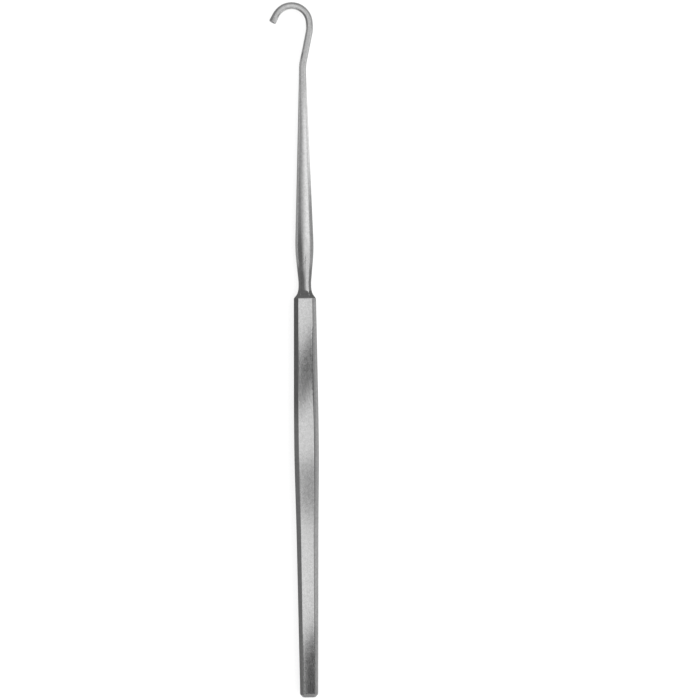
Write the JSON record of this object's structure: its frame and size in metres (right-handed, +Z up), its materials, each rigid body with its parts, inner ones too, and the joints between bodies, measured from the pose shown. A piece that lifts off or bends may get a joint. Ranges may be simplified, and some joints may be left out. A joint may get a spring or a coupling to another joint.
{
  "type": "surgical hook",
  "caption": "Blunt one-piece surgical hook with an eight-sided handle, a bellied round shaft and a curled wire end.",
  "frame": {"origin": "on the underside of the handle, in the middle of the flat parallel land that it rests on", "axes": "+Y along the handle towards the hook, +Z up out of the table, -X the side to which the hook curls"},
  "size_m": [0.0129, 0.1998, 0.0067],
  "materials": {
    "steel": "satin stainless steel, ground along its length, with edges softened by polishing"
  },
  "bodies": {
    "root": {"surgical_hook": "steel"}
  },
  "joints": []
}
